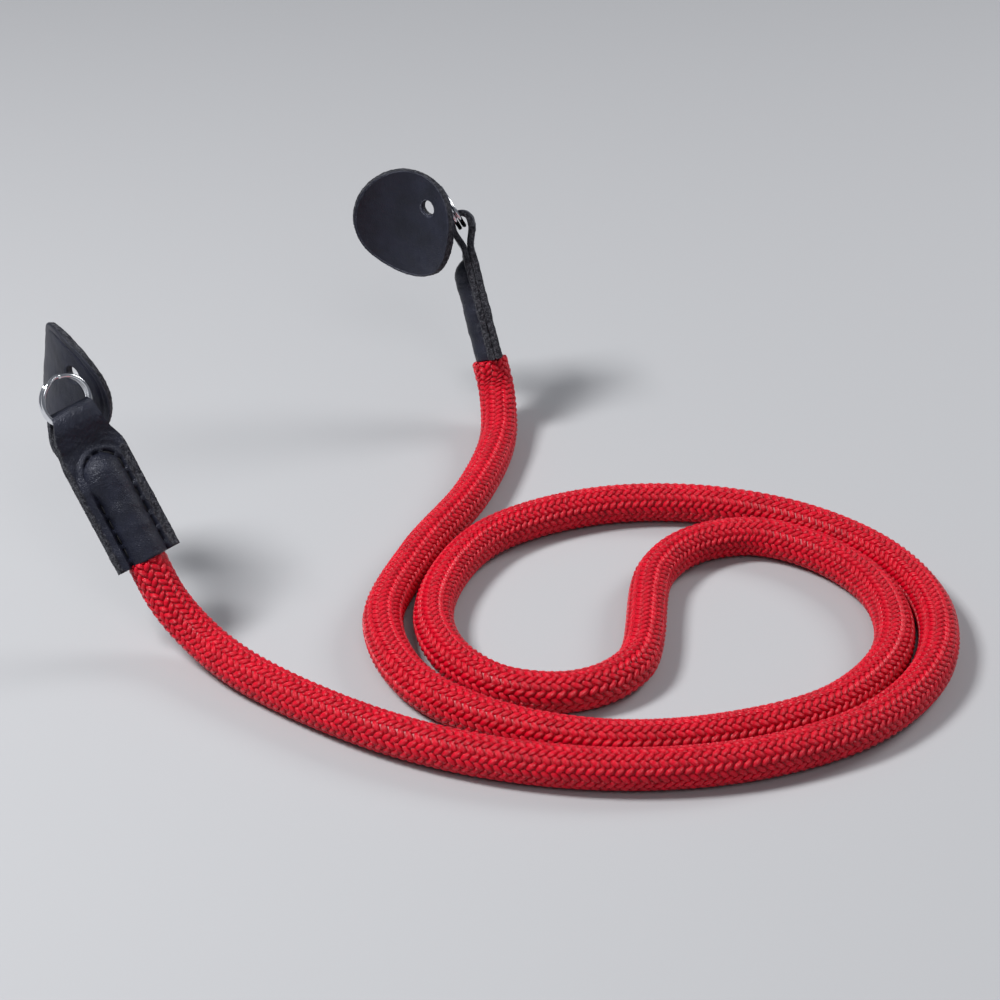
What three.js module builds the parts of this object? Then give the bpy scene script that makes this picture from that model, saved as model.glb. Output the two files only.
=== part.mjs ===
// Camera neck strap: a round braided rope, a folded leather end sewn over each tip of it,
// a two-turn split ring in each leather end, and a bent leather disc behind each ring.
// Millimetres, +Z up. The origin is the left lug point, the top of the left ring's wire.
// +X runs from the left ring to the right ring, and the rope's loops lie towards -Y on a
// level 60 mm below the lug points.
import * as THREE from 'three';

const RIGHT_LUG = new THREE.Vector3(139.3, 0.9, -3);
const GAP = 0.3;

const ROPE = { diameter: 9.5, sides: 12, steps: 80 };

// The rope's centre line, from the left leather end to the right one: x, y, z.
const REST = -55.25;
const ROPE_ROUTE = [
  [0.2, -24.8, -39.7], [0.2, -30.2, -47.1], [-0.2, -40, -53],
  [-3.2, -60, REST], [-2.6, -100, REST], [6, -129, REST], [21.5, -153, REST],
  [42.5, -170.5, REST], [68, -180, REST], [95, -177.5, REST], [117.5, -163.5, REST],
  [131.8, -140.5, REST], [134.3, -114, REST], [125.5, -88.5, REST], [107.5, -69.5, REST],
  [82, -60.5, REST], [57, -66, REST], [39, -78, REST], [30, -92.5, REST],
  [28.5, -108, REST], [37, -121, REST], [53, -124.5, REST],
  [92, -102.5, REST], [109, -101.8, REST], [121, -110.5, REST], [124, -128, REST],
  [116.5, -149, REST], [96.5, -166, REST], [69, -169.5, REST], [44, -158, REST],
  [25.3, -139.5, REST], [15.8, -115.5, REST], [17.5, -90, REST], [33.5, -67, REST],
  [62, -53, REST], [94.5, -43, REST], [121.5, -29.6, -55.2], [132.4, -21.3, -53],
  [137.5, -16.2, -49.2], [138.3, -13.5, -43.3],
];

// Split ring: two flat turns of wire side by side, joined by one short crossing.
const RING = { wire: 1.1, turnRadius: 5.8, pitch: 1.25, cut: 0.55, crossing: 0.8, steps: 68 };

// Leather end: one strip folded over the ring's wire. Its legs meet and are sewn below the
// fold, and the front leg humps over the rope's tip.
const LEATHER = {
  thickness: 1.6,
  foldHalfWidth: 4.4,
  legHalfWidth: 7.8,
  flareFrom: 0,
  flareTo: 9,
  foldRise: 1.6,
  foldRadius: 2.75,
  meetAt: 7,
  humpFrom: 7,
  humpFull: 11.5,
  humpHeight: 3.3,
  humpHalfWidth: 4.5,
};

// Half of the hump's cross-section: share of its half-width, share of its height.
const HUMP_SECTION = [
  { across: 0, rise: 1 },
  { across: 0.22, rise: 0.97 },
  { across: 0.44, rise: 0.87 },
  { across: 0.64, rise: 0.69 },
  { across: 0.8, rise: 0.46 },
  { across: 0.93, rise: 0.2 },
  { across: 1.08, rise: 0.04 },
  { across: 1.25, rise: 0 },
];

// Stations down one leg, as distances below the ring's wire.
const LEG_STATIONS = [0, 1.5, 3, 4.5, 6, 7.2, 8.2, 9, 10, 11.2, 12.6, 15, 19, 23, 27, 31, 35];
const FOLD_STEPS = 6;

const DISC = { radius: 14.6, thickness: 1.8, holeRadius: 1.9, bendRadius: 21, rings: 5, sectors: 40 };

const SIDES = {
  left: {
    lug: new THREE.Vector3(0, 0, 0),
    ringUp: new THREE.Vector3(0.06, 0.33, 0.942),
    ringAcross: new THREE.Vector3(0.956, -0.292, 0),
    hangAngle: 14,
    legDown: new THREE.Vector3(0.008, -0.59, -0.807),
    legFacing: new THREE.Vector3(-0.364, -0.754, 0.547),
    discCentre: new THREE.Vector3(9.4, 8.8, -8.2),
    discFacing: new THREE.Vector3(-0.971, 0.238, 0),
    discHole: new THREE.Vector2(6, 5.5),
    discTilt: -12,
  },
  right: {
    lug: RIGHT_LUG,
    ringUp: new THREE.Vector3(-0.71, -0.48, 0.52),
    ringAcross: new THREE.Vector3(-0.703, -0.606, 0.373),
    hangAngle: 0,
    legDown: new THREE.Vector3(-0.125, -0.411, -0.903),
    legFacing: new THREE.Vector3(-0.701, 0.679, -0.218),
    discCentre: new THREE.Vector3(132.6, 8.8, -8.2),
    discFacing: new THREE.Vector3(0.971, 0.238, 0),
    discHole: new THREE.Vector2(-6, 5.5),
    discTilt: 12,
  },
};

const leatherLook = new THREE.MeshStandardMaterial({ color: 0x17181f, roughness: 0.55, metalness: 0 });
const steelLook = new THREE.MeshStandardMaterial({ color: 0xd5d7da, roughness: 0.18, metalness: 1 });
const ropeLook = new THREE.MeshStandardMaterial({ color: 0xc4081f, roughness: 0.5, metalness: 0 });

// A right-handed frame at a point: Z along `axis`, X as near to `across` as it can be.
function frameAt(point, axis, across) {
  const z = axis.clone().normalize();
  const x = across.clone().addScaledVector(z, -across.dot(z)).normalize();
  const y = new THREE.Vector3().crossVectors(z, x);
  return new THREE.Matrix4().makeBasis(x, y, z).setPosition(point);
}

function polygon(radius, sides) {
  const corners = [];
  for (let i = 0; i < sides; i++) {
    const angle = (2 * Math.PI * i) / sides;
    corners.push(new THREE.Vector2(radius * Math.cos(angle), radius * Math.sin(angle)));
  }
  return new THREE.Shape(corners);
}

function makeNode(name, geometry, material, matrix = new THREE.Matrix4()) {
  const mesh = new THREE.Mesh(geometry, material);
  mesh.name = name;
  mesh.applyMatrix4(matrix);
  return mesh;
}

function makeRope() {
  const points = ROPE_ROUTE.map(([x, y, z]) => new THREE.Vector3(x, y, z));
  const route = new THREE.CatmullRomCurve3(points, false, 'centripetal');
  route.arcLengthDivisions = 2000;
  return new THREE.ExtrudeGeometry(polygon(ROPE.diameter / 2, ROPE.sides), {
    steps: ROPE.steps,
    extrudePath: route,
  });
}

// The wire's centre line: the first turn lies at -pitch/2, the second at +pitch/2.
class SplitRingCurve extends THREE.Curve {
  getPoint(t, target = new THREE.Vector3()) {
    const sweep = 4 * Math.PI - RING.cut;
    const angle = t * sweep;
    const share = (angle - sweep / 2) / RING.crossing + 0.5;
    const height = RING.pitch * (THREE.MathUtils.smoothstep(share, 0, 1) - 0.5);
    const turned = angle + 0.72 * Math.PI;
    return target.set(
      RING.turnRadius * Math.cos(turned),
      RING.turnRadius * Math.sin(turned),
      height,
    );
  }
}

function makeSplitRing() {
  return new THREE.ExtrudeGeometry(polygon(RING.wire / 2, 8), {
    steps: RING.steps,
    extrudePath: new SplitRingCurve(),
  });
}

function humpRise(across) {
  const share = Math.abs(across) / LEATHER.humpHalfWidth;
  const next = HUMP_SECTION.findIndex((row) => row.across > share);
  if (next < 1) {
    return next === 0 ? 1 : 0;
  }
  const from = HUMP_SECTION[next - 1];
  const to = HUMP_SECTION[next];
  const mix = (share - from.across) / (to.across - from.across);
  return THREE.MathUtils.lerp(from.rise, to.rise, mix);
}

function humpGrowth(down) {
  const { humpFrom, humpFull } = LEATHER;
  const share = THREE.MathUtils.clamp((humpFull - down) / (humpFull - humpFrom), 0, 1);
  return Math.sqrt(1 - share * share);
}

// Rows of the folded strip, from the back leg's free end over the fold to the front leg's:
// `down` is the distance below the ring's wire, `out` the middle of the leather's offset.
function stripRows() {
  const flat = (LEATHER.thickness + GAP) / 2;
  const legOut = (down) => THREE.MathUtils.lerp(
    LEATHER.foldRadius, flat, THREE.MathUtils.smoothstep(down, 0, LEATHER.meetAt),
  );
  const back = LEG_STATIONS.map((down) => ({ down, out: -legOut(down), front: false })).reverse();
  const front = LEG_STATIONS.map((down) => ({ down, out: legOut(down), front: true }));
  const fold = [];
  for (let i = 0; i <= FOLD_STEPS; i++) {
    const angle = (Math.PI * i) / FOLD_STEPS;
    fold.push({
      down: -LEATHER.foldRise - LEATHER.foldRadius * Math.sin(angle),
      out: -LEATHER.foldRadius * Math.cos(angle),
      front: false,
    });
  }
  return [...back, ...fold, ...front];
}

// Positions across one row, denser over the hump, as shares of the leg's half-width.
const ACROSS = [-1, -0.86, -0.7, -0.6, -0.52, -0.44, -0.34, -0.23, -0.12, 0,
  0.12, 0.23, 0.34, 0.44, 0.52, 0.6, 0.7, 0.86, 1];

function makeLeatherEnd() {
  const rows = stripRows();
  const middle = (row, column) => {
    const { down, out, front } = rows[row];
    const flare = THREE.MathUtils.smoothstep(down, LEATHER.flareFrom, LEATHER.flareTo);
    const half = THREE.MathUtils.lerp(LEATHER.foldHalfWidth, LEATHER.legHalfWidth, flare);
    const across = ACROSS[column] * half;
    const hump = front ? LEATHER.humpHeight * humpGrowth(down) * humpRise(across) : 0;
    return new THREE.Vector3(across, out + hump, -down);
  };
  const lastRow = rows.length - 1;
  const lastColumn = ACROSS.length - 1;
  const geometry = new THREE.BoxGeometry(1, 1, 1, lastColumn, lastRow, 1);
  const position = geometry.attributes.position;
  for (let i = 0; i < position.count; i++) {
    const column = Math.round((position.getX(i) + 0.5) * lastColumn);
    const row = Math.round((position.getY(i) + 0.5) * lastRow);
    const along = middle(Math.min(row + 1, lastRow), column)
      .sub(middle(Math.max(row - 1, 0), column));
    const sideways = middle(row, Math.min(column + 1, lastColumn))
      .sub(middle(row, Math.max(column - 1, 0)));
    const normal = sideways.cross(along).normalize();
    const point = middle(row, column).addScaledVector(normal, position.getZ(i) * LEATHER.thickness);
    position.setXYZ(i, point.x, point.y, point.z);
  }
  return geometry;
}

// A flat ring of leather bent about a line through its middle, `tilt` degrees off upright.
// Z is the outward face.
function makeDisc(hole, tilt) {
  const { radius, thickness, holeRadius, bendRadius, rings, sectors } = DISC;
  const profile = [];
  for (let i = 0; i <= rings; i++) {
    profile.push(new THREE.Vector2(THREE.MathUtils.lerp(holeRadius, radius, i / rings), 0));
  }
  for (let i = rings; i >= 0; i--) {
    profile.push(new THREE.Vector2(THREE.MathUtils.lerp(holeRadius, radius, i / rings), thickness));
  }
  profile.push(profile[0].clone());
  const geometry = new THREE.LatheGeometry(profile, sectors);
  geometry.rotateX(Math.PI / 2);
  const position = geometry.attributes.position;
  const turn = THREE.MathUtils.degToRad(tilt);
  for (let i = 0; i < position.count; i++) {
    const reach = Math.hypot(position.getX(i), position.getY(i));
    const share = (radius - reach) / (radius - holeRadius);
    const flat = new THREE.Vector2(position.getX(i), position.getY(i)).addScaledVector(hole, share);
    flat.rotateAround(new THREE.Vector2(), -turn);
    const angle = flat.x / bendRadius;
    const bent = bendRadius + position.getZ(i);
    position.setXYZ(i, bent * Math.sin(angle), flat.y, bent * Math.cos(angle) - bendRadius);
  }
  geometry.rotateZ(turn);
  return geometry;
}

const group = new THREE.Group();
group.add(makeNode('rope', makeRope(), ropeLook));

for (const [side, place] of Object.entries(SIDES)) {
  const ringAxis = new THREE.Vector3().crossVectors(place.ringAcross, place.ringUp);
  const ringCentre = place.lug.clone().addScaledVector(place.ringUp, -RING.turnRadius);
  const ringFrame = frameAt(ringCentre, ringAxis, place.ringAcross);
  group.add(makeNode(`split_ring_${side}`, makeSplitRing(), steelLook, ringFrame));

  const hang = THREE.MathUtils.degToRad(place.hangAngle - 90);
  const wirePoint = new THREE.Vector3(Math.cos(hang), Math.sin(hang), 0)
    .multiplyScalar(RING.turnRadius)
    .applyMatrix4(ringFrame);
  const legAcross = new THREE.Vector3().crossVectors(place.legDown, place.legFacing);
  const legUp = place.legDown.clone().negate();
  group.add(makeNode(
    `leather_end_${side}`, makeLeatherEnd(), leatherLook, frameAt(wirePoint, legUp, legAcross),
  ));

  const discUp = new THREE.Vector3(0, 0, 1);
  const discAcross = new THREE.Vector3().crossVectors(discUp, place.discFacing);
  group.add(makeNode(
    `protector_${side}`, makeDisc(place.discHole, place.discTilt), leatherLook,
    frameAt(place.discCentre, place.discFacing, discAcross),
  ));
}

export default group;
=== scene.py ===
"""Looks of a camera neck strap: a braided rope, sewn leather ends, split rings and guard discs.

Shapes are worked out in millimetres in the row frame, and become metres in new_piece.
"""
import logging
import math
from dataclasses import dataclass, field
from enum import Enum
from typing import Any

import bpy
import numpy as np
from mathutils import Matrix, Vector


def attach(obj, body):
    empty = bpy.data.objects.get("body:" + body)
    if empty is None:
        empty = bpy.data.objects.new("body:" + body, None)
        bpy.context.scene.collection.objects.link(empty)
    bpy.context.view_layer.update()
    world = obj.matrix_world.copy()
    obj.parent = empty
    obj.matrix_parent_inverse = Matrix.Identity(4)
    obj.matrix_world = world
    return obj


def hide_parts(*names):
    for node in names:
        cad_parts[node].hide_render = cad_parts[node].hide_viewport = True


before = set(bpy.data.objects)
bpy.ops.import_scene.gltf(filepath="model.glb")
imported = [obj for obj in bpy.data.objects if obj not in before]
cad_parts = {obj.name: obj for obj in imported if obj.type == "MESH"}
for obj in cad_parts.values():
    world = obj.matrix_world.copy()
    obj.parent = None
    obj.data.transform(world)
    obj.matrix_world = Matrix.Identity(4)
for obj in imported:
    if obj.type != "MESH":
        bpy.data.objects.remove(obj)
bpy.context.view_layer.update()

LOG = logging.getLogger("neck_strap")
MM = 0.001
Array = np.ndarray


# ---- sizes and places


class Side(Enum):
    """The two ends of the strap."""

    LEFT = "left"
    RIGHT = "right"


@dataclass(frozen=True)
class EndPlace:
    """Where one end's ring, leather and disc are, in millimetres, and which way they face."""

    lug: tuple[float, float, float]
    ring_up: tuple[float, float, float]
    ring_across: tuple[float, float, float]
    hang_angle: float
    leg_down: tuple[float, float, float]
    leg_facing: tuple[float, float, float]
    disc_centre: tuple[float, float, float]
    disc_facing: tuple[float, float, float]
    disc_hole: tuple[float, float]
    disc_tilt: float


PLACES = {
    Side.LEFT: EndPlace(
        lug=(0, 0, 0), ring_up=(0.06, 0.33, 0.942), ring_across=(0.956, -0.292, 0),
        hang_angle=14, leg_down=(0.008, -0.59, -0.807), leg_facing=(-0.364, -0.754, 0.547),
        disc_centre=(9.4, 8.8, -8.2), disc_facing=(-0.971, 0.238, 0),
        disc_hole=(6, 5.5), disc_tilt=-12,
    ),
    Side.RIGHT: EndPlace(
        lug=(139.3, 0.9, -3), ring_up=(-0.71, -0.48, 0.52), ring_across=(-0.703, -0.606, 0.373),
        hang_angle=0, leg_down=(-0.125, -0.411, -0.903), leg_facing=(-0.701, 0.679, -0.218),
        disc_centre=(132.6, 8.8, -8.2), disc_facing=(0.971, 0.238, 0),
        disc_hole=(-6, 5.5), disc_tilt=12,
    ),
}

# The rope's centre line in metres, from the left leather end to the right one. Between its
# ends it lies on the table, with its middle at the height REST.
REST = -0.05525
ON_TABLE = [
    (-0.0032, -0.06), (-0.0026, -0.1), (0.006, -0.129), (0.0215, -0.153), (0.0425, -0.1705),
    (0.068, -0.18), (0.095, -0.1775), (0.1175, -0.1635), (0.1318, -0.1405), (0.1343, -0.114),
    (0.1255, -0.0885), (0.1075, -0.0695), (0.082, -0.0605), (0.057, -0.066), (0.039, -0.078),
    (0.03, -0.0925), (0.0285, -0.108), (0.037, -0.121), (0.053, -0.1245), (0.092, -0.1025),
    (0.109, -0.1018), (0.121, -0.1105), (0.124, -0.128), (0.1165, -0.149), (0.0965, -0.166),
    (0.069, -0.1695), (0.044, -0.158), (0.0253, -0.1395), (0.0158, -0.1155), (0.0175, -0.09),
    (0.0335, -0.067), (0.062, -0.053), (0.0945, -0.043),
]
ROPE_ROUTE = [
    (0.0002, -0.0248, -0.0397), (0.0002, -0.0302, -0.0471), (-0.0002, -0.04, -0.053),
    *((x, y, REST) for x, y in ON_TABLE),
    (0.1215, -0.0296, -0.0552), (0.1324, -0.0213, -0.053), (0.1375, -0.0162, -0.0492),
    (0.1383, -0.0135, -0.0433),
]
# The yarn attribute where only the shade between floats shows: its along is near 1.
SHADED_YARN = (0.0, 0.9, 0.0)


# ---- meshes


def smoothstep(value: Array, low: float, high: float) -> Array:
    """Rises from 0 at low to 1 at high as 3t^2 - 2t^3.

    Args:
        value: the numbers to map.
        low: where the rise starts.
        high: where it ends.

    Returns:
        The mapped numbers.
    """
    share = np.clip((value - low) / (high - low), 0, 1)
    return share * share * (3 - 2 * share)


def bell(value: Array, width: float) -> Array:
    """Falls off from 1 at 0, as exp(-(value / width)^2).

    Args:
        value: the numbers to map.
        width: where it has fallen to 1/e.

    Returns:
        The mapped numbers.
    """
    return np.exp(-(value / width) ** 2)


def resample(at: Array, known: Array, values: Array) -> Array:
    """Points between known ones, column by column.

    Args:
        at: the places to find points for.
        known: the places of the known points, rising.
        values: the known points, n by 3.

    Returns:
        The points, with their coordinates on a last axis.
    """
    return np.stack([np.interp(at, known, column) for column in values.T], -1)


def waves(points: Array, scale: float, seed: int, count: int = 10) -> Array:
    """A smooth random field: the mean of sine waves that run in random directions.

    Args:
        points: positions, with their coordinates on the last axis.
        scale: the waves' usual length, in the points' unit.
        seed: the seed of the directions and phases.
        count: how many waves are summed.

    Returns:
        One number for each point, mostly between -1 and 1.
    """
    draw = np.random.default_rng(seed)
    ways = draw.normal(size=(count, points.shape[-1]))
    ways /= np.linalg.norm(ways, axis=1, keepdims=True)
    ways *= 2 * math.pi / (scale * draw.uniform(0.6, 1.6, (count, 1)))
    phases = draw.uniform(0, 2 * math.pi, count)
    return np.sin(points @ ways.T + phases).sum(-1) / math.sqrt(count / 2) * 0.6


def grid_quads(rows: int, columns: int) -> Array:
    """Faces of a grid of points numbered row by row, each row joined into a ring.

    Args:
        rows: how many rows of points there are.
        columns: how many points a row has.

    Returns:
        The quads, one row of four point numbers each.
    """
    row = np.arange(rows - 1)[:, None]
    column = np.arange(columns)[None]
    after = (column + 1) % columns
    corners = (row * columns + column, row * columns + after,
               (row + 1) * columns + after, (row + 1) * columns + column)
    return np.stack(np.broadcast_arrays(*corners), -1).reshape(-1, 4)


def tube_faces(rows: int, columns: int) -> list[Array]:
    """Faces of a closed tube.

    Args:
        rows: how many rings of points it has.
        columns: how many points a ring has.

    Returns:
        The quads between its rings, and the two faces over its ends.
    """
    corners = np.arange(columns)
    caps = np.stack([corners[::-1], (rows - 1) * columns + corners])
    return [grid_quads(rows, columns), caps]


def repeat_faces(faces: list[Array], copies: int, size: int) -> list[Array]:
    """The faces of many copies of one shape, whose points follow one another.

    Args:
        faces: one shape's faces.
        copies: how many copies there are.
        size: how many points one shape has.

    Returns:
        All the copies' faces.
    """
    shift = (np.arange(copies) * size)[:, None, None]
    return [(block[None] + shift).reshape(-1, block.shape[1]) for block in faces]


def new_piece(
    name: str,
    points: Array,
    faces: list[Array],
    attributes: dict[str, Array] | None = None,
    flip: bool = False,
) -> bpy.types.Object:
    """Makes a smooth-shaded mesh object at the origin.

    Args:
        name: the piece's name.
        points: n by 3, in millimetres in the row frame.
        faces: arrays of faces, all the faces of one array having as many corners.
        attributes: numbers to keep on the points, n by 1 or n by 3 for each name.
        flip: whether to turn the faces round.

    Returns:
        The object, linked to the scene.
    """
    mesh = bpy.data.meshes.new(name)
    faces = [block[:, ::-1] if flip else block for block in faces]
    sizes = np.concatenate([np.full(len(block), block.shape[1]) for block in faces])
    corners = np.concatenate([block.ravel() for block in faces])
    mesh.vertices.add(len(points))
    mesh.vertices.foreach_set("co", (points * MM).astype(np.float32).ravel())
    mesh.loops.add(len(corners))
    mesh.loops.foreach_set("vertex_index", corners.astype(np.int32))
    mesh.polygons.add(len(sizes))
    mesh.polygons.foreach_set("loop_start", (np.cumsum(sizes) - sizes).astype(np.int32))
    mesh.polygons.foreach_set("use_smooth", np.ones(len(sizes), bool))
    for key, values in (attributes or {}).items():
        wide = values.ndim == 2
        layer = mesh.attributes.new(key, "FLOAT_VECTOR" if wide else "FLOAT", "POINT")
        layer.data.foreach_set("vector" if wide else "value", values.astype(np.float32).ravel())
    mesh.update(calc_edges=True)
    mesh.validate()
    piece = bpy.data.objects.new(name, mesh)
    bpy.context.scene.collection.objects.link(piece)
    return piece


def declare(
    piece: bpy.types.Object, material: bpy.types.Material, slot: str, *nodes: str
) -> None:
    """Gives a piece its material, rides it on the one body, hides the CAD nodes that it stands for,
    and logs its triangles.

    Args:
        piece: the piece.
        material: its material.
        slot: the record's material slot; it is not used.
        nodes: the CAD nodes that it replaces.
    """
    piece.data.materials.append(material)
    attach(piece, "root")
    if nodes:
        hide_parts(*nodes)
    triangles = sum(len(face.vertices) - 2 for face in piece.data.polygons)
    LOG.info("%s: %d triangles", piece.name, triangles)


def unit(vector: Any) -> Array:
    """The vector at length 1."""
    values = np.asarray(vector, float)
    return values / np.linalg.norm(values, axis=-1, keepdims=True)


@dataclass(frozen=True)
class Axes:
    """A right-handed frame: a point, and the three directions that local x, y and z take."""

    point: Array
    x: Array
    y: Array
    z: Array

    @classmethod
    def at(cls, point: Any, axis: Any, across: Any) -> "Axes":
        """The frame whose z is along axis and whose x is as near to across as it can be.

        Args:
            point: its origin.
            axis: the direction of z.
            across: the direction that x is near.

        Returns:
            The frame.
        """
        z = unit(axis)
        x = unit(np.asarray(across, float) - z * np.dot(across, z))
        return cls(np.asarray(point, float), x, np.cross(z, x), z)

    def place(self, local: Array) -> Array:
        """Local points in the row frame."""
        return self.point + local @ np.stack([self.x, self.y, self.z])


def ellipsoid_grid(segments: int, rings: int) -> tuple[Array, list[Array]]:
    """A closed unit ball with its poles on x: (cos a, sin a cos b, sin a sin b).

    Args:
        segments: how many points go round each ring.
        rings: how many spans there are from pole to pole.

    Returns:
        Its points, and its faces as quads and triangles.
    """
    polar = np.linspace(0, math.pi, rings + 1)[1:-1, None]
    turn = np.linspace(0, 2 * math.pi, segments, endpoint=False)[None]
    body = np.stack(np.broadcast_arrays(
        np.cos(polar), np.sin(polar) * np.cos(turn), np.sin(polar) * np.sin(turn)), -1)
    points = np.concatenate([body.reshape(-1, 3), [[1, 0, 0], [-1, 0, 0]]])
    quads = grid_quads(rings - 1, segments)[:, ::-1]
    here = np.arange(segments)
    after = (here + 1) % segments
    last = (rings - 2) * segments
    first_pole = np.full(segments, len(points) - 2)
    far_pole = first_pole + 1
    near_cap = np.stack([first_pole, here, after], -1)
    far_cap = np.stack([far_pole, last + after, last + here], -1)
    return points, [quads, np.concatenate([near_cap, far_cap])]


# ---- materials


class Value:
    """A socket in a material's nodes. Arithmetic on it adds Math nodes."""

    def __init__(self, graph: "Graph", socket: bpy.types.NodeSocket) -> None:
        """Keeps the graph and the socket."""
        self.graph = graph
        self.socket = socket

    def math(self, operation: str, *operands: Any) -> "Value":
        """One Math node.

        Args:
            operation: the node's operation.
            operands: its inputs, in order.

        Returns:
            Its result.
        """
        return self.graph.add("ShaderNodeMath", {"operation": operation}, dict(enumerate(operands)))

    def __add__(self, other: Any) -> "Value":
        """self + other."""
        return self.math("ADD", self, other)

    def __sub__(self, other: Any) -> "Value":
        """self - other."""
        return self.math("SUBTRACT", self, other)

    def __rsub__(self, other: Any) -> "Value":
        """other - self."""
        return self.math("SUBTRACT", other, self)

    def __mul__(self, other: Any) -> "Value":
        """self * other."""
        return self.math("MULTIPLY", self, other)

    def ramp(self, low: float, high: float) -> "Value":
        """0 below low, 1 above high, and straight between."""
        return self.graph.add(
            "ShaderNodeMapRange", {"clamp": True},
            {"Value": self, "From Min": low, "From Max": high})


class Graph:
    """The nodes of one material."""

    def __init__(self, name: str) -> None:
        """Makes an empty material of that name."""
        self.material = bpy.data.materials.new(name)
        self.material.use_nodes = True
        self.tree = self.material.node_tree
        self.tree.nodes.clear()

    def add(
        self, kind: str, settings: dict[str, Any], inputs: dict[Any, Any], output: Any = 0
    ) -> Value:
        """Adds one node: its settings first, then its sockets.

        Args:
            kind: the node's type.
            settings: the node's properties.
            inputs: a number, colour or Value for each input socket, by name or place.
            output: the output socket's name or place.

        Returns:
            That output.
        """
        node = self.tree.nodes.new(kind)
        for key, setting in settings.items():
            setattr(node, key, setting)
        for key, given in inputs.items():
            if isinstance(given, Value):
                self.tree.links.new(given.socket, node.inputs[key])
            else:
                node.inputs[key].default_value = given
        return Value(self, node.outputs[output])

    def place(self) -> Value:
        """The point's Object coordinates."""
        return self.add("ShaderNodeTexCoord", {}, {}, "Object")

    def attribute(self, name: str, output: str = "Fac") -> Value:
        """One of the mesh's own attributes."""
        return self.add("ShaderNodeAttribute", {"attribute_name": name}, {}, output)

    def noise(self, where: Value, scale: float, detail: float = 3, rough: float = 0.6) -> Value:
        """Noise from 0 to 1 at so many features to the metre."""
        return self.add("ShaderNodeTexNoise", {}, {
            "Vector": where, "Scale": scale, "Detail": detail, "Roughness": rough})

    def mix(self, share: Any, low: Any, high: Any) -> Value:
        """A colour between two colours."""
        return self.add("ShaderNodeMix", {"data_type": "RGBA"}, {0: share, 6: low, 7: high}, 2)

    def bump(self, height: Value, depth: float) -> Value:
        """A normal raised by height times depth metres."""
        return self.add(
            "ShaderNodeBump", {}, {"Height": height, "Distance": depth, "Strength": 1.0})

    def finish(self, **inputs: Any) -> bpy.types.Material:
        """Ends the material in a Principled shader.

        Args:
            inputs: its sockets, by name with _ for each space.

        Returns:
            The material.
        """
        sockets = {key.replace("_", " "): given for key, given in inputs.items()}
        shader = self.add("ShaderNodeBsdfPrincipled", {}, sockets)
        output = self.tree.nodes.new("ShaderNodeOutputMaterial")
        self.tree.links.new(shader.socket, output.inputs["Surface"])
        return self.material


@dataclass(frozen=True)
class YarnFinish:
    """Glossy dyed yarn in bundles. Reads the yarn attribute: across, along, and a share."""

    deep: tuple = (0.20, 0.0, 0.003, 1)
    bright: tuple = (0.80, 0.002, 0.024, 1)
    filaments: float = 7.0
    twist: float = 1.6
    # Painted shade: how much darker a float is painted towards its ends and its sides, where the
    # gaps between floats lie.
    end_painted_shade: float = 0.40
    side_painted_shade: float = 0.22
    filament_depth: float = 0.00006

    def material(self) -> bpy.types.Material:
        """The rope's material: each float painted lighter on its top, with painted shade towards
        its ends and sides.
        """
        graph = Graph("braided_yarn")
        strand = graph.add("ShaderNodeSeparateXYZ", {}, {0: graph.attribute("yarn", "Vector")}, 0)
        outputs = strand.socket.node.outputs
        across, along, shade = (Value(graph, outputs[i]) for i in range(3))
        lines = (across * self.filaments + along * self.twist) * math.pi
        fibre = lines.math("SINE", lines) * 0.5 + 0.5
        tone = graph.noise(graph.place(), 260, 2)
        # Painted shade at the floats' ends and sides, where the gaps lie in shade. The core and the
        # tips, with along near 1, take it too.
        painted_shade = along * along * self.end_painted_shade + across * across * self.side_painted_shade
        share = (shade * 0.22 + tone * 0.36 + fibre * 0.14 - painted_shade + 0.50).ramp(0.1, 0.95)
        return graph.finish(
            Base_Color=graph.mix(share, self.deep, self.bright),
            Roughness=0.40 - fibre * 0.10,
            Normal=graph.bump(fibre, self.filament_depth),
            Specular_IOR_Level=0.36, Sheen_Weight=0.02, Sheen_Roughness=0.3,
            Sheen_Tint=(1.0, 0.45, 0.5, 1))


@dataclass(frozen=True)
class LeatherFinish:
    """Smooth blue-black leather, grey and fibrous where the raw attribute says it is cut."""

    skin: tuple = (0.0058, 0.0066, 0.0128, 1)
    worn: tuple = (0.0135, 0.0152, 0.0285, 1)
    fibre_dark: tuple = (0.003, 0.003, 0.005, 1)
    fibre_pale: tuple = (0.140, 0.143, 0.160, 1)
    pore_scale: float = 2100.0
    relief_depth: float = 0.00022

    def material(self) -> bpy.types.Material:
        """The leather's material."""
        graph = Graph("leather")
        place = graph.place()
        raw = graph.attribute("raw")
        cells = graph.add("ShaderNodeTexVoronoi", {"feature": "DISTANCE_TO_EDGE"},
                          {"Vector": place, "Scale": self.pore_scale})
        pores = cells.ramp(0.0, 0.22)
        cloud = graph.noise(place, 160, 4)
        fuzz = graph.noise(place, 3200, 4, 0.75)
        tufts = graph.noise(place, 1100, 3, 0.7)
        cut = (raw + (tufts - 0.5) * 0.7 * raw.ramp(0.02, 0.3)).ramp(0.3, 0.7)
        skin = graph.mix(cloud.ramp(0.35, 0.7), self.skin, self.worn)
        pale = (fuzz * 0.7 + tufts * 0.5).ramp(0.55, 0.82)
        fibres = graph.mix(pale, self.fibre_dark, self.fibre_pale)
        height = pores * (1 - cut) * 0.2 + (fuzz * 0.6 + tufts * 0.9) * cut
        return graph.finish(
            Base_Color=graph.mix(cut, skin, fibres),
            Roughness=cloud * 0.12 + cut * 0.40 - pores * 0.03 + 0.40,
            Normal=graph.bump(height, self.relief_depth),
            # The bluish specular tint paints the studio's bluish light into the leather's
            # highlights.
            Specular_IOR_Level=0.4, Specular_Tint=(0.84, 0.87, 1.0, 1))


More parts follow.
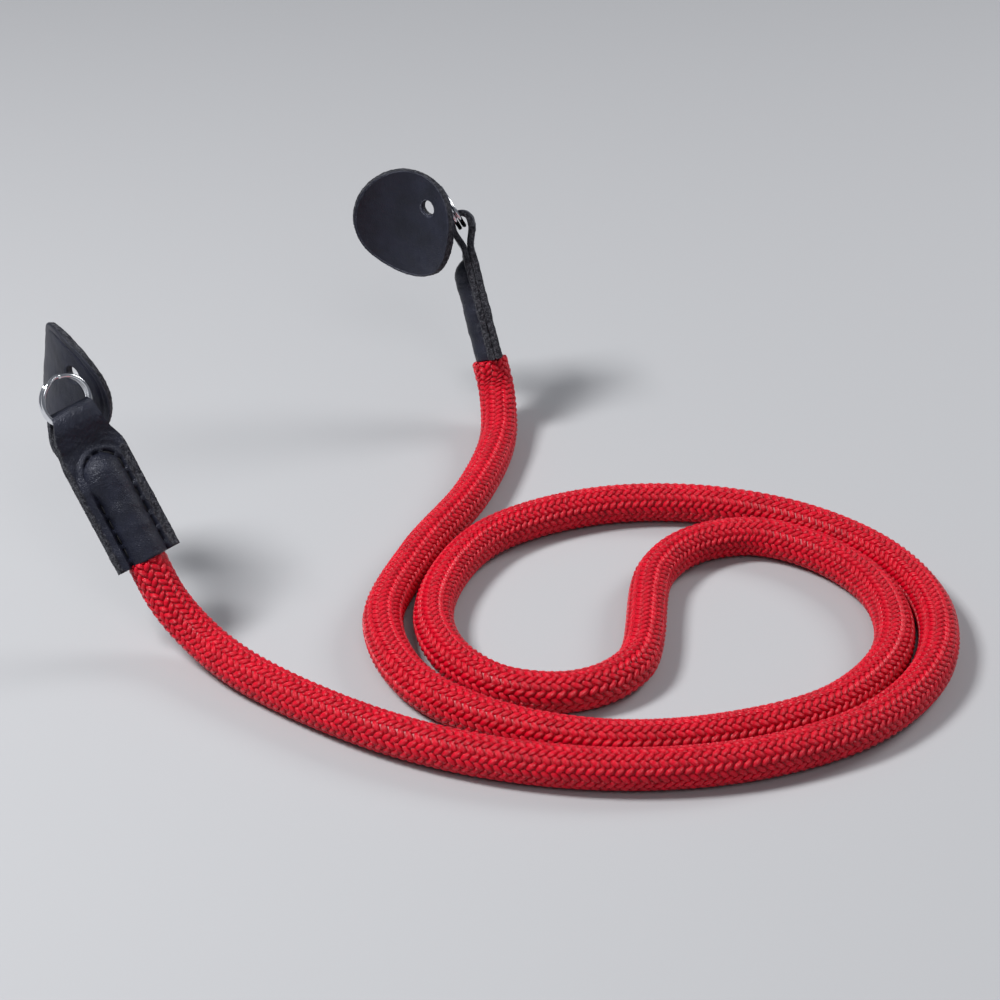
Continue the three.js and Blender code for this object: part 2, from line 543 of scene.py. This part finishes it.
@dataclass(frozen=True)
class ThreadFinish:
    """Waxed black sewing thread, with its twist as a bump."""

    colour: tuple = (0.003, 0.003, 0.004, 1)
    waxed: tuple = (0.010, 0.010, 0.013, 1)

    def material(self) -> bpy.types.Material:
        """The thread's material."""
        graph = Graph("thread")
        noise = graph.noise(graph.place(), 2600, 2)
        return graph.finish(
            Base_Color=graph.mix(noise, self.colour, self.waxed),
            Roughness=noise * 0.15 + 0.5, Normal=graph.bump(noise, 0.00008),
            Specular_IOR_Level=0.3)


@dataclass(frozen=True)
class SteelFinish:
    """Bright plated wire with faint rubbed patches."""

    colour: tuple = (0.86, 0.87, 0.90, 1)
    rubbed: tuple = (0.66, 0.67, 0.70, 1)

    def material(self) -> bpy.types.Material:
        """The rings' material."""
        graph = Graph("ring_steel")
        rub = graph.noise(graph.place(), 420, 4)
        fine = graph.noise(graph.place(), 4200, 2)
        return graph.finish(
            Base_Color=graph.mix(rub, self.rubbed, self.colour),
            Roughness=rub.ramp(0.4, 0.8) * 0.12 + 0.12, Metallic=1.0,
            Normal=graph.bump(fine, 0.00001))


# ---- the rope


@dataclass
class RopeLine:
    """The rope's centre line, with a direction square to it that stays as upright as it can."""

    step: float = 0.25
    samples: int = 60
    run_on: float = 0.7
    ease: float = 3.2
    ease_reach: float = 26.0
    length: float = field(init=False)
    at: Array = field(init=False)
    centre: Array = field(init=False)
    up: Array = field(init=False)
    side: Array = field(init=False)

    def __post_init__(self) -> None:
        """Spaces a centripetal Catmull-Rom curve through the route evenly, and frames it.

        The curve runs on straight by run_on past both ends, so that the yarn meets the leather.
        """
        dense = self.curve(np.array(ROPE_ROUTE) / MM)
        before = dense[0] - unit(dense[1] - dense[0]) * self.run_on
        after = dense[-1] + unit(dense[-1] - dense[-2]) * self.run_on
        dense = np.vstack([before, dense, after])
        gone = np.concatenate([[0], np.cumsum(np.linalg.norm(np.diff(dense, axis=0), axis=1))])
        self.length = float(gone[-1])
        self.at = np.linspace(0, self.length, int(self.length / self.step) + 1)
        self.centre = self.eased(resample(self.at, gone, dense))
        along = unit(np.gradient(self.centre, self.at, axis=0))
        lift = np.array([0, 0, 1.0]) - along * along[:, 2:]
        self.up = unit(lift)
        self.side = np.cross(along, self.up)

    def eased(self, line: Array) -> Array:
        """Evens out the bends within ease_reach of both ends, whose points stay where they are.

        Args:
            line: evenly spaced points.

        Returns:
            The points, near the ends averaged with weights that fall off over ease millimetres.
        """
        half = int(3 * self.ease / self.step)
        weights = bell(np.arange(-half, half + 1) * self.step, self.ease)
        weights /= weights.sum()
        before = 2 * line[0] - line[half:0:-1]
        after = 2 * line[-1] - line[-2:-half - 2:-1]
        longer = np.vstack([before, line, after])
        even = np.stack([np.convolve(column, weights, "valid") for column in longer.T], -1)
        from_end = np.minimum(self.at, self.length - self.at)[:, None]
        keep = smoothstep(from_end, self.ease_reach / 2, self.ease_reach)
        return line + (even - line) * (1 - keep)

    def curve(self, route: Array) -> Array:
        """The curve through the route's points, every span cut into equal shares of its parameter.

        A span from p1 to p2 is the cubic whose end slopes come from the neighbouring points,
        with each gap weighted by the square root of its length.

        Args:
            route: the points, in millimetres.

        Returns:
            Points along the curve.
        """
        ends = np.vstack([2 * route[0] - route[1], route, 2 * route[-1] - route[-2]])
        p0, p1, p2, p3 = ends[:-3], ends[1:-2], ends[2:-1], ends[3:]
        g0, g1, g2 = (np.sqrt(np.linalg.norm(b - a, axis=1))[:, None]
                      for a, b in ((p0, p1), (p1, p2), (p2, p3)))
        start = ((p1 - p0) / g0 - (p2 - p0) / (g0 + g1) + (p2 - p1) / g1) * g1
        end = ((p2 - p1) / g1 - (p3 - p1) / (g1 + g2) + (p3 - p2) / g2) * g1
        t = np.linspace(0, 1, self.samples, endpoint=False)[None, :, None]
        spans = ((2 * t**3 - 3 * t**2 + 1) * p1[:, None] + (t**3 - 2 * t**2 + t) * start[:, None]
                 + (3 * t**2 - 2 * t**3) * p2[:, None] + (t**3 - t**2) * end[:, None])
        return np.vstack([spans.reshape(-1, 3), route[-1:]])

    def around(self, distance: Array, turn: Array, radius: Array) -> Array:
        """Points round the line.

        Args:
            distance: how far along the line each is.
            turn: its turn round the line from up, in radians.
            radius: how far out from the line it is.

        Returns:
            The points, with their coordinates on a last axis.
        """
        centre, up, side = (
            resample(distance, self.at, values) for values in (self.centre, self.up, self.side))
        out = up * np.cos(turn)[..., None] + side * np.sin(turn)[..., None]
        return centre + out * radius[..., None]


@dataclass
class BraidedRope:
    """A round braid: a core tube, and floats of yarn in slanting columns round it."""

    line: RopeLine
    radius: float = 4.75
    core_radius: float = 4.2
    core_sides: int = 20
    core_spacing: float = 1.5
    columns: int = 16
    pitch: float = 2.03
    slant: float = 47.0
    float_half_length: float = 1.55
    float_half_width: float = 0.76
    float_half_height: float = 0.66
    float_stand: float = 0.06
    lean_spread: float = 0.05
    place_spread: float = 0.03
    size_spread: float = 0.03
    sections: int = 8
    seed: int = 40
    segments: int = 8
    rings: int = 6
    end_roll: float = 0.6
    tip_half_sizes: tuple[float, float, float] = (7.0, 3.5, 2.0)
    tip_rise: float = 1.9
    innermost: float = 0.3
    path: list[tuple[float, ...]] = field(init=False, default_factory=list)

    def rolled(self, distance: Array, radius: Array) -> tuple[Array, Array]:
        """Rolls what comes near an end of the rope inwards, over a quarter circle of end_roll.

        Args:
            distance: distances along the line, which may pass its ends.
            radius: distances out from the line.

        Returns:
            Both, with what passes an end turned towards the line.
        """
        half = self.line.length / 2
        beyond = np.abs(distance - half) - (half - self.end_roll)
        angle = np.clip(beyond / self.end_roll, 0, math.pi / 2)
        reach = np.minimum(beyond, self.end_roll * np.sin(angle)) + half - self.end_roll
        past = np.maximum(beyond - self.end_roll * math.pi / 2, 0)
        inwards = self.end_roll * (1 - np.cos(angle)) + past
        return half + np.sign(distance - half) * reach, np.maximum(radius - inwards, self.innermost)

    def core(self) -> bpy.types.Object:
        """The tube under the yarn: circles of core_radius along the line, closed at both ends."""
        sides = self.core_sides
        start, end = self.line.run_on, self.line.length - self.line.run_on
        distance = np.linspace(start, end, int((end - start) / self.core_spacing))
        turn = np.linspace(0, 2 * math.pi, sides, endpoint=False)
        where, angle = np.meshgrid(distance, turn, indexing="ij")
        radius = np.full_like(where, self.core_radius)
        points = self.line.around(where, angle, radius).reshape(-1, 3)
        centres = resample(distance, self.line.at, self.line.centre)
        yarn = np.tile(SHADED_YARN, (len(points), 1))
        self.path = [tuple(point) for point in centres * MM]
        return new_piece("rope_core", points, tube_faces(len(distance), sides), {"yarn": yarn})

    def section(self, number: int) -> bpy.types.Object:
        """One stretch of the braid's floats.

        Each float is a ball stretched along a slanting line on the tube: its x runs along
        the yarn, its y across it and its z outwards. Neighbouring columns slant opposite ways
        and stand half a pitch apart.

        Args:
            number: which stretch, from 0.

        Returns:
            The piece.
        """
        rows = int(self.line.length / self.pitch) + 2
        edges = np.linspace(0, rows, self.sections + 1).astype(int)
        row, column = np.meshgrid(
            np.arange(edges[number], edges[number + 1]), np.arange(self.columns), indexing="ij")
        draw = np.random.default_rng(self.seed + number)
        row, column = row.ravel(), column.ravel()
        count = len(row)
        lean = np.where(column % 2 == 0, 1, -1) * math.radians(self.slant)
        lean = lean + draw.normal(0, self.lean_spread, count)
        middle = (row - 0.25 + 0.5 * (column % 2)) * self.pitch
        middle = middle + draw.normal(0, self.place_spread, count)
        centre_turn = column * 2 * math.pi / self.columns
        ball, faces = ellipsoid_grid(self.segments, self.rings)
        size = 1 + draw.normal(0, self.size_spread, (count, 1))
        along = ball[None, :, 0] * self.float_half_length * size
        across = ball[None, :, 1] * self.float_half_width
        rise = ball[None, :, 2] * self.float_half_height
        down_line = along * np.cos(lean)[:, None] - across * np.sin(lean)[:, None]
        round_line = along * np.sin(lean)[:, None] + across * np.cos(lean)[:, None]
        turn = centre_turn[:, None] + round_line / self.radius
        radius = self.radius + self.float_stand - self.float_half_height + rise
        distance, radius = self.rolled(middle[:, None] + down_line, radius)
        points = self.line.around(distance, turn, radius).reshape(-1, 3)
        blocks = repeat_faces(faces, count, len(ball))
        yarn = np.stack(np.broadcast_arrays(
            ball[None, :, 1], ball[None, :, 0], draw.uniform(0, 1, (count, 1))), -1)
        return new_piece(
            f"rope_braid_{number + 1}", points, blocks, {"yarn": yarn.reshape(-1, 3)}, flip=True)

    def tip(self, side: Side, place: EndPlace) -> bpy.types.Object:
        """The flattened tip that goes on into a leather end's hump: a stretched ball.

        Args:
            side: which end of the strap.
            place: where that end's leather is.

        Returns:
            The piece.
        """
        leather = LeatherEnd(place)
        ball, faces = ellipsoid_grid(24, 12)
        along, across, rise = (ball[:, i] * self.tip_half_sizes[i] for i in range(3))
        local = np.stack([across, rise + self.tip_rise, along - leather.leg_length], -1)
        yarn = np.tile(SHADED_YARN, (len(local), 1))
        points = leather.axes().place(local)
        return new_piece(f"rope_tip_{side.value}", points, faces, {"yarn": yarn})

    def build(self) -> None:
        yarn = YarnFinish().material()
        core = self.core()
        declare(core, yarn, "rope", "rope")
        braid = [self.section(number) for number in range(self.sections)]
        braid += [self.tip(side, place) for side, place in PLACES.items()]
        for piece in braid:
            declare(piece, yarn, "rope")


# ---- leather ends and rings


@dataclass
class SplitRing:
    """A wire of two flat turns side by side, joined by one short crossing."""

    place: EndPlace
    wire: float = 1.1
    turn_radius: float = 5.8
    pitch: float = 1.25
    cut: float = 0.55
    crossing: float = 0.8
    start: float = 0.72
    end_rounding: float = 0.3
    steps: int = 260
    sides: int = 14

    def axes(self) -> Axes:
        """The ring's own frame: z is the axis of its turns."""
        up = np.array(self.place.ring_up)
        centre = np.array(self.place.lug) - up * self.turn_radius
        return Axes.at(centre, np.cross(self.place.ring_across, up), self.place.ring_across)

    def bottom(self) -> Array:
        """The point of the turns' mid circle that the leather hangs from."""
        angle = math.radians(self.place.hang_angle - 90)
        local = np.array([math.cos(angle), math.sin(angle), 0]) * self.turn_radius
        return self.axes().place(local[None])[0]

    def build(self, side: Side, steel: bpy.types.Material) -> None:
        """Carries a circle along the wire's line, and rounds its ends off with smaller circles.

        Args:
            side: which end of the strap.
            steel: the rings' material.
        """
        sweep = 4 * math.pi - self.cut
        share = np.linspace(0, 1, self.steps + 1)
        angle = share * sweep
        height = self.pitch * (smoothstep((angle - sweep / 2) / self.crossing + 0.5, 0, 1) - 0.5)
        turned = angle + self.start * math.pi
        out = np.stack([np.cos(turned), np.sin(turned), np.zeros_like(turned)], -1)
        centre = out * self.turn_radius + np.array([0, 0, 1]) * height[:, None]
        from_end = np.minimum(share, 1 - share) * sweep * self.turn_radius
        rounding = np.clip(1 - from_end / self.end_rounding, 0, 0.9)
        radius = self.wire / 2 * np.sqrt(1 - rounding**2)
        turn = np.linspace(0, 2 * math.pi, self.sides, endpoint=False)[None, :, None]
        ring = centre[:, None] + radius[:, None, None] * (
            out[:, None] * np.cos(turn) + np.array([0, 0, 1]) * np.sin(turn))
        piece = new_piece(
            f"ring_{side.value}", self.axes().place(ring.reshape(-1, 3)),
            tube_faces(self.steps + 1, self.sides), flip=True)
        declare(piece, steel, "ring_steel", f"split_ring_{side.value}")


@dataclass(frozen=True)
class Rise:
    """A rounded rise of the leather, or a sunk line where its height is below 0."""

    height: float
    at: float
    width: float

    def over(self, place: Array) -> Array:
        """Its height at each place, which is greatest at its middle."""
        return self.height * bell(place - self.at, self.width)


@dataclass
class LeatherEnd:
    """A strip folded over the ring, its legs sewn flat round a hump that holds the rope's tip."""

    place: EndPlace
    thickness: float = 1.6
    gap: float = 0.04
    leg_length: float = 35.3
    fold_half_width: float = 5.0
    leg_half_width: float = 7.8
    flare_to: float = 9.0
    fold_rise: float = 1.2
    fold_radius: float = 2.4
    meet_at: float = 6.0
    arc_at: float = 12.8
    hump_height: float = 3.5
    hump_half_width: float = 3.9
    hump_squareness: float = 2.2
    hump_fullness: float = 0.8
    row_offset: float = 4.45
    stitch_pitch: float = 3.8
    stitch_half_length: float = 1.55
    thread_radius: float = 0.38
    stitch_sink: float = 0.34
    groove: Rise = Rise(-0.62, 0.0, 0.5)
    mound: Rise = Rise(0.22, 0.0, 0.75)
    ridge: Rise = Rise(0.26, 1.15, 0.55)
    trough: Rise = Rise(-0.14, 2.2, 0.6)
    swelling: Rise = Rise(0.6, 1.6, 0.95)
    shoulder: Rise = Rise(1.5, 0.0, 2.4)
    shoulder_at: tuple[float, float] = (4.0, 14.3)
    fold_dome: Rise = Rise(0.35, -2.0, 4.0)
    fold_left: Rise = Rise(1.9, 1.6, 3.4)
    fold_right: Rise = Rise(0.3, 1.6, 3.4)
    crease_height: float = 0.03
    crease_pitch: float = 1.05
    edge_bow: float = 0.12
    across_steps: int = 100
    leg_steps: int = 150
    fold_steps: int = 28
    edge_steps: int = 4

    def axes(self) -> Axes:
        """The leather's own frame: x across it, y out of its front, z up from the ring's wire."""
        down = np.array(self.place.leg_down)
        across = np.cross(down, self.place.leg_facing)
        return Axes.at(SplitRing(self.place).bottom(), -down, across)

    def seam(self, across: Array, down: Array) -> tuple[Array, Array]:
        """Distance from the row of stitches, and the distance run along it.

        The row is two straight lines at row_offset each side of the middle, joined above
        the hump's top by a half circle.

        Args:
            across: places across the leather.
            down: distances below the wire.

        Returns:
            Distance outside the row, and distance along it from where the arc begins.
        """
        top = self.arc_at
        reach = np.hypot(across, np.minimum(down - top, 0))
        angle = np.arctan2(np.maximum(top - down, 0), np.abs(across) + 1e-9)
        return reach - self.row_offset, np.maximum(down - top, 0) - angle * self.row_offset

    def hump(self, across: Array, down: Array) -> Array:
        """The hump's rise: an arch over the distance from its middle line, round at its top."""
        reach = np.hypot(across, np.minimum(down - self.arc_at, 0))
        share = np.clip(reach / self.hump_half_width, 0, 1)
        return self.hump_height * (1 - share**self.hump_squareness) ** self.hump_fullness

    def relief(self, across: Array, down: Array, front: Array) -> Array:
        """Small outward rises of the outer skin.

        Sunk dashes under the stitches with soft mounds between them, a low ridge outside
        the row, fine creases over the hump's top end, and a slow unevenness. On the front's
        left a shoulder widens the hump's top end and runs down as a swelling.

        Args:
            across: places across the leather.
            down: distances below the wire.
            front: 1 on the front leg and 0 on the back.

        Returns:
            The rises, in millimetres.
        """
        beside, along = self.seam(across, down)
        dash = 0.5 + 0.5 * np.cos(2 * math.pi * along / self.stitch_pitch)
        dash = smoothstep(dash, 0.08, 0.4)
        sewn = smoothstep(down, 5.5, 8.0)
        cut = self.groove.over(beside) * (0.3 + 0.7 * dash)
        mound = self.mound.over(beside) * (1 - dash)
        row = (cut + mound + self.ridge.over(beside) + self.trough.over(beside)) * sewn
        spot = np.stack([across, down], -1)
        wander = 1.8 * waves(spot, 5, 3) + 0.35 * np.abs(across)
        crease = self.crease_height * np.sin(2 * math.pi * down / self.crease_pitch + wander)
        window = smoothstep(down, 9, 11) * smoothstep(-down, -20, -14) * bell(beside + 2.4, 2.0)
        crackle = waves(spot, 1.1, 5) * bell(down - 2, 5) * 0.05
        uneven = 0.10 * waves(spot, 7, 7) + 0.035 * waves(spot, 2.4, 8)
        left = smoothstep(across, 0.5, 2.5) * front
        x, z = self.shoulder_at
        shoulder = left * self.shoulder.over(np.hypot(across - x, (down - z) * 0.7))
        filled = shoulder / self.shoulder.height
        swell = left * (1 - filled) * self.swelling.over(beside) * smoothstep(down, 12, 16)
        return (row * (1 - 0.85 * filled) + shoulder + swell + crease * window * front
                + crackle + uneven)

    def rows(self) -> tuple[Array, Array, Array, Array]:
        """The strip's rows from the back leg's free end, over the fold, to the front leg's.

        Returns:
            For each row: distance below the wire, offset of its middle, whether it is front,
            and a factor on its thickness that rounds the free ends.
        """
        flat = (self.thickness + self.gap) / 2
        leg = self.leg_length * np.linspace(0, 1, self.leg_steps) ** 1.04
        out = self.fold_radius + (flat - self.fold_radius) * smoothstep(leg, 0, self.meet_at)
        angle = np.linspace(0, math.pi, self.fold_steps)
        down = np.concatenate([leg[::-1], -self.fold_rise - self.fold_radius * np.sin(angle), leg])
        offset = np.concatenate([-out[::-1], -self.fold_radius * np.cos(angle), out])
        front = np.concatenate([np.zeros(len(leg)), smoothstep(angle, 1.2, 2.6), np.ones(len(leg))])
        ends = np.sqrt(1 - np.clip(1 - (self.leg_length - down) / 0.35, 0, 0.75) ** 2)
        return down, offset, front, ends

    def middle(self, share: Array, row: tuple[Array, Array, Array, Array]) -> Array:
        """The middle surface: local points at shares of the half-width across each row."""
        down, offset, front, _ = (values[:, None] for values in row)
        flare = smoothstep(down, 0, self.flare_to)
        half = self.fold_half_width + (self.leg_half_width - self.fold_half_width) * flare
        left, right = self.fold_left.over(down), self.fold_right.over(down)
        half = half + np.where(share[None] > 0, left, right)
        across = share[None] * half
        bulge = self.fold_dome.over(down) * (1 - share[None] ** 2)
        lift = offset + np.where(front > 0.99, self.hump(across, down), 0) + bulge * np.sign(offset)
        return np.stack(np.broadcast_arrays(across, lift, -down), -1)

    def skin(self) -> tuple[Array, Array]:
        """The closed section's points for each row, and how raw the leather is there.

        Round the section go the outer skin, one cut edge, the inner skin and the other edge.

        Returns:
            Rows by section points by 3, and rows by section points.
        """
        row = self.rows()
        share = np.sin(np.linspace(-1, 1, self.across_steps) * 1.25) / math.sin(1.25)
        middle = self.middle(share, row)
        along = np.gradient(middle, axis=0)
        side = np.gradient(middle, axis=1)
        normal = unit(np.cross(side, along))
        half = (self.thickness / 2) * row[3][:, None, None]
        across, down = middle[..., 0], -middle[..., 2]
        front = np.broadcast_to(row[2][:, None], across.shape)
        outer = middle + normal * (half + self.relief(across, down, front)[..., None])
        inner = middle - normal * half * 0.97
        edges = []
        for column, way in ((-1, 1), (0, -1)):
            level = np.linspace(1, -1, self.edge_steps + 2)[1:-1] * way
            spot = np.stack(np.broadcast_arrays(row[0][:, None], level[None] * 0.8), -1)
            ragged = 0.05 * waves(spot, 0.9, 11 + column) + 0.07 * waves(spot, 4.2, 21 + column)
            bow = self.edge_bow * (1 - level[None] ** 2) + ragged
            sideways = unit(side[:, column])[:, None] * way
            top, bottom = outer[:, column, None], inner[:, column, None]
            mix = (level[None, :, None] + 1) / 2
            edges.append(bottom + (top - bottom) * mix + sideways * bow[..., None])
        points = np.concatenate([outer, edges[0], inner[:, ::-1], edges[1]], 1)
        rim = self.leg_half_width - np.abs(across)
        spot = np.stack([across, down], -1)
        flange = (across < 0) * smoothstep(-across, 5.1, 5.9) * smoothstep(down, 6, 11) * 0.68
        worn = np.maximum(bell(rim, 0.8) * 0.8, flange) + 0.12 * waves(spot, 1.4, 31)
        worn = np.where(rim < 3, np.clip(worn, 0, 1), 0)
        cut_edge = np.ones((len(row[0]), self.edge_steps))
        raw = np.concatenate([worn, cut_edge, np.full_like(worn, 0.8), cut_edge], 1)
        return points, raw

    def stitches(self) -> tuple[Array, list[Array]]:
        """Threads along the row on the front and on the back: a stretched ball each.

        Returns:
            Local points, and faces.
        """
        top = self.arc_at
        arc = math.pi / 2 * self.row_offset
        count = int((self.leg_length - 1.2 - top) / self.stitch_pitch) + 1
        first = -math.floor(arc / self.stitch_pitch)
        along = np.arange(first, count) * self.stitch_pitch
        angle = np.clip(-along / self.row_offset, 0, math.pi / 2)
        across = self.row_offset * np.cos(angle)
        down = top + np.maximum(along, 0) - self.row_offset * np.sin(angle)
        run_x, run_z = np.sin(angle), -np.cos(angle)
        keep = (across > 0.8) | (np.abs(across) < 1e-6)
        flat = self.thickness + self.gap / 2
        shapes = []
        ball, faces = ellipsoid_grid(8, 6)
        for mirror in (1, -1):
            for leg in (1, -1):
                level = np.full_like(across, leg * (flat - self.stitch_sink))
                centre = np.stack([across * mirror, level, -down], -1)
                run = np.stack([run_x * mirror, np.zeros_like(run_x), run_z], -1)
                out = np.tile([0.0, leg, 0.0], (len(run), 1))
                beside = np.cross(out, run)
                shapes.append(
                    (centre[:, None] + ball[None, :, :1] * run[:, None] * self.stitch_half_length
                     + ball[None, :, 1:2] * beside[:, None] * self.thread_radius
                     + ball[None, :, 2:] * out[:, None] * self.thread_radius)[keep])
        points = np.concatenate(shapes)
        return points.reshape(-1, 3), repeat_faces(faces, len(points), len(ball))

    def build(
        self, side: Side, leather: bpy.types.Material, thread: bpy.types.Material
    ) -> None:
        """Makes the leather and its stitches.

        Args:
            side: which end of the strap.
            leather: the leather's material.
            thread: the stitches' material.
        """
        axes = self.axes()
        points, raw = self.skin()
        piece = new_piece(
            f"leather_{side.value}", axes.place(points.reshape(-1, 3)), tube_faces(*raw.shape),
            {"raw": raw.ravel()})
        declare(piece, leather, "leather", f"leather_end_{side.value}")
        local, blocks = self.stitches()
        sewing = new_piece(f"stitches_{side.value}", axes.place(local), blocks)
        declare(sewing, thread, "leather")


@dataclass
class GuardDisc:
    """A thin leather disc, bent about a leaning line, with a small hole for the ring's lug."""

    place: EndPlace
    radius: float = 14.6
    thickness: float = 1.8
    hole_radius: float = 1.9
    bend_radius: float = 21.0
    crease_at: float = 13.1
    crease_depth: float = 0.22
    crease_width: float = 0.3
    rounding: float = 0.35
    sectors: int = 180
    steps: int = 44

    def section(self) -> tuple[Array, Array]:
        """Once round the wall's section: back face, rim, front face and the hole's wall.

        Returns:
            Distance from the hole's middle, and height over the back face.
        """
        inside, outside = self.hole_radius, self.radius
        face = np.linspace(inside + self.rounding, outside - self.rounding, self.steps)
        corner = np.linspace(0, math.pi / 2, 5)
        near, far = 1 - np.sin(corner), 1 - np.cos(corner)
        r = self.rounding
        reach = np.concatenate([
            face, outside - r * near, outside - r * far, face[::-1],
            inside + r * near, inside + r * far])
        height = np.concatenate([
            0 * face, r * far, self.thickness - r * near, 0 * face + self.thickness,
            self.thickness - r * far, r * near])
        return reach, height

    def build(self, side: Side, leather: bpy.types.Material) -> None:
        """Turns the section round the hole, slides the hole off centre, then bends the disc.

        Args:
            side: which end of the strap.
            leather: the leather's material.
        """
        reach, height = (values[None] for values in self.section())
        turn = np.linspace(0, 2 * math.pi, self.sectors, endpoint=False)[:, None]
        share = (self.radius - reach) / (self.radius - self.hole_radius)
        tilt = math.radians(self.place.disc_tilt)
        x = reach * np.cos(turn) + self.place.disc_hole[0] * share
        y = reach * np.sin(turn) + self.place.disc_hole[1] * share
        spot = np.stack(np.broadcast_arrays(x, y, height * 2), -1)
        top = smoothstep(height, self.thickness * 0.6, self.thickness)
        edge = np.hypot(x, y)
        crease = -self.crease_depth * bell(edge - self.crease_at, self.crease_width) * top
        uneven = (0.10 * waves(spot, 9, 41) + 0.03 * waves(spot, 2.5, 42)) * (2 * top - 1)
        lifted = height + crease + uneven
        rim_only = bell(self.radius - edge, 0.4)
        ragged = 1 + 0.006 * waves(spot, 1.0, 43) * rim_only
        along = (x * math.cos(tilt) + y * math.sin(tilt)) * ragged
        aside = (y * math.cos(tilt) - x * math.sin(tilt)) * ragged
        angle = along / self.bend_radius
        bent = self.bend_radius + lifted
        u, w = bent * np.sin(angle), bent * np.cos(angle) - self.bend_radius
        local = np.stack(np.broadcast_arrays(
            u * math.cos(tilt) - aside * math.sin(tilt),
            u * math.sin(tilt) + aside * math.cos(tilt), w), -1)
        axes = Axes.at(self.place.disc_centre, self.place.disc_facing,
                       np.cross([0, 0, 1], self.place.disc_facing))
        around = local.shape[1]
        quads = grid_quads(self.sectors, around)
        last = (self.sectors - 1) * around + np.arange(around)
        first = np.arange(around)
        close = np.stack([last, np.roll(last, -1), np.roll(first, -1), first], -1)
        on_wall = np.abs(height - self.thickness / 2) < self.thickness / 2 - 0.3
        wall = on_wall * 0.85 + bell(self.radius - edge, 0.3) * 0.3
        raw = np.broadcast_to(wall, local.shape[:2]).ravel()
        piece = new_piece(
            f"guard_{side.value}", axes.place(local.reshape(-1, 3)),
            [np.concatenate([quads, close])], {"raw": np.clip(raw, 0, 1)}, flip=True)
        declare(piece, leather, "leather", f"protector_{side.value}")


# ---- the studio


@dataclass(frozen=True)
class SoftLight:
    """A square soft box aimed at the strap."""

    name: str
    place: tuple[float, float, float]
    size: float
    power: float

    def build(self, aim: Vector) -> None:
        """Makes the light and turns it to the aim."""
        lamp = bpy.data.lights.new(self.name, "AREA")
        lamp.size = self.size
        lamp.energy = self.power
        light = bpy.data.objects.new(self.name, lamp)
        bpy.context.scene.collection.objects.link(light)
        light.location = self.place
        light.rotation_euler = (aim - light.location).to_track_quat("-Z", "Y").to_euler()


@dataclass
class Studio:
    """The camera, a pale floor and soft boxes."""

    camera_place: tuple[float, float, float] = (-0.44128, -0.48876, 0.31071)
    right: tuple[float, float, float] = (0.630, -0.7766, -0.0036)
    up: tuple[float, float, float] = (0.3641, 0.2913, 0.8846)
    lens: float = 113.8
    floor_level: float = -0.0602
    floor_half: float = 2.5
    floor_colour: tuple = (0.46, 0.465, 0.48, 1)
    room_colour: tuple = (0.55, 0.58, 0.65, 1)
    room_strength: float = 0.28
    aim: tuple[float, float, float] = (0.065, -0.09, -0.04)
    lights: tuple[SoftLight, ...] = (
        SoftLight("key_light", (-0.35, 0.30, 0.75), 0.26, 10.0),
        SoftLight("side_light", (0.75, -0.35, 0.50), 0.35, 3.0),
        SoftLight("front_light", (-0.50, -0.70, 0.75), 0.4, 1.8),
    )

    def camera(self) -> None:
        """Sets the camera by its place and its own right and up directions."""
        data = bpy.data.cameras.new("camera")
        data.lens = self.lens
        data.sensor_width = 36
        data.clip_start = 0.01
        camera = bpy.data.objects.new("camera", data)
        bpy.context.scene.collection.objects.link(camera)
        right = Vector(self.right).normalized()
        back = right.cross(Vector(self.up)).normalized()
        up = back.cross(right)
        turn = Matrix((right, up, back)).transposed().to_4x4()
        camera.matrix_world = Matrix.Translation(self.camera_place) @ turn
        bpy.context.scene.camera = camera

    def build(self) -> None:
        """Makes the camera, the lights, the floor and the surrounding light."""
        self.camera()
        for light in self.lights:
            light.build(Vector(self.aim))
        half, level = self.floor_half, self.floor_level
        mesh = bpy.data.meshes.new("floor")
        corners = [(x * half, y * half, level) for x, y in ((-1, -1), (1, -1), (1, 1), (-1, 1))]
        mesh.from_pydata(corners, [], [(0, 1, 2, 3)])
        floor = bpy.data.objects.new("floor", mesh)
        bpy.context.scene.collection.objects.link(floor)
        graph = Graph("floor_paper")
        mesh.materials.append(graph.finish(Base_Color=self.floor_colour, Roughness=0.7))
        world = bpy.data.worlds.new("soft_room")
        world.use_nodes = True
        background = world.node_tree.nodes["Background"]
        background.inputs["Color"].default_value = self.room_colour
        background.inputs["Strength"].default_value = self.room_strength
        bpy.context.scene.world = world
        bpy.context.scene.view_settings.view_transform = "Standard"


def main() -> None:
    """Builds the studio and the strap, and logs each piece's triangle count."""
    logging.basicConfig(level=logging.INFO, format="%(name)s: %(message)s")
    Studio().build()
    BraidedRope(RopeLine()).build()
    leather = LeatherFinish().material()
    thread = ThreadFinish().material()
    steel = SteelFinish().material()
    for side, place in PLACES.items():
        SplitRing(place).build(side, steel)
        LeatherEnd(place).build(side, leather, thread)
        GuardDisc(place).build(side, leather)


if __name__ == "__main__":
    main()
